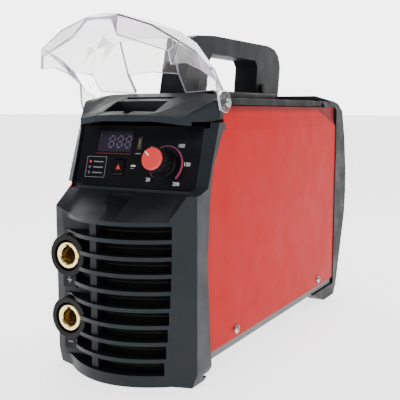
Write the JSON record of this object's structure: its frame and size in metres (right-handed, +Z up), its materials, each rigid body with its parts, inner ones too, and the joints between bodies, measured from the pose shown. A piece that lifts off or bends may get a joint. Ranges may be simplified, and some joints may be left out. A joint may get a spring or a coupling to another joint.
{
  "type": "stick welding inverter",
  "caption": "Portable stick welding inverter with a louvred front, two cable sockets, a leaning control panel under a raised clear hood, and a carry handle.",
  "frame": {"origin": "centre of the overall footprint, on the surface the machine stands on", "axes": "+Z up, the front with its sockets and panel faces -Y, and +X is the side shown in the picture, on the right of a person facing the front"},
  "size_m": [0.126, 0.3536, 0.2543],
  "materials": {
    "red_paint": "powder coat, satin",
    "grey_paint": "powder coat, matt",
    "charcoal_plastic": "fine moulded grain",
    "black_plastic": "matt",
    "gloss_black": "gloss",
    "smoked_window": "gloss, smoked",
    "lens": "gloss",
    "red_plastic": "satin",
    "clear_plastic": "clear polycarbonate",
    "steel": "zinc plated",
    "brass": "machined",
    "copper": "bare or enamelled copper",
    "aluminium": "extruded",
    "circuit_board": "solder mask",
    "ferrite": "sintered",
    "capacitor_sleeve": "printed sleeve"
  },
  "bodies": {
    "machine": {"side_panel_right": "red_paint", "side_panel_left": "red_paint", "base_tray": "grey_paint", "front_bezel": "charcoal_plastic", "brow_cap": "charcoal_plastic", "handle": "charcoal_plastic", "top_cover": "black_plastic", "handle_base": "black_plastic", "handle_bolt_front": "black_plastic", "handle_bolt_rear": "black_plastic", "rear_bezel": "black_plastic", "positive_collar": "black_plastic", "negative_collar": "black_plastic", "fan_frame": "black_plastic", "switch_housing": "black_plastic", "gland_body": "black_plastic", "gland_nut": "black_plastic", "gland_locknut": "black_plastic", "bridge_rectifier": "black_plastic", "control_panel": "gloss_black", "display_module": "gloss_black", "display_window": "smoked_window", "warning_lens": "lens", "hinge_pin_right": "steel", "hinge_pin_left": "steel", "fan_guard": "steel", "potentiometer_body": "steel", "button_switch": "steel", "side_screw_front_right": "steel", "side_screw_rear_right": "steel", "side_screw_front_left": "steel", "side_screw_rear_left": "steel", "fan_screw_1": "steel", "fan_screw_2": "steel", "fan_screw_3": "steel", "fan_screw_4": "steel", "positive_insert": "brass", "negative_insert": "brass", "positive_nut": "brass", "negative_nut": "brass", "positive_busbar": "copper", "negative_busbar": "copper", "transformer_winding": "copper", "output_choke": "copper", "heatsink_left": "aluminium", "heatsink_right": "aluminium", "control_board": "circuit_board", "main_board": "circuit_board", "transformer_core": "ferrite", "bus_capacitor_1": "capacitor_sleeve", "bus_capacitor_2": "capacitor_sleeve"},
    "cover": {"clear_cover": "clear_plastic"},
    "current_knob": {"knob_body": "black_plastic", "knob_cap": "red_plastic", "potentiometer_shaft": "steel"},
    "button": {"mode_button": "gloss_black"},
    "rocker": {"power_rocker": "red_plastic"},
    "rotor": {"fan_rotor": "black_plastic"}
  },
  "joints": [
    {"name": "cover_hinge", "type": "hinge", "parent": "machine", "child": "cover", "pos_m": [0, -0.10475, 0.1955], "axis": [1, 0, 0], "range_deg": [0, 78]},
    {"name": "knob_turn", "type": "hinge", "parent": "machine", "child": "current_knob", "pos_m": [0.0253, -0.12957, 0.15239], "axis": [0, -0.9588, 0.284], "range_deg": [-140, 140]},
    {"name": "button_press", "type": "slide", "parent": "machine", "child": "button", "axis": [0, 0.9588, -0.284], "range_m": [0, 0.0006], "stiffness_N_per_m": 800, "springref_m": -0.0008},
    {"name": "rocker_tilt", "type": "hinge", "parent": "machine", "child": "rocker", "pos_m": [0.03, 0.15625, 0.152], "axis": [1, 0, 0], "range_deg": [0, 20]},
    {"name": "fan_spin", "type": "hinge", "parent": "machine", "child": "rotor", "pos_m": [0, 0.14725, 0.072], "axis": [0, 1, 0], "continuous": true}
  ]
}
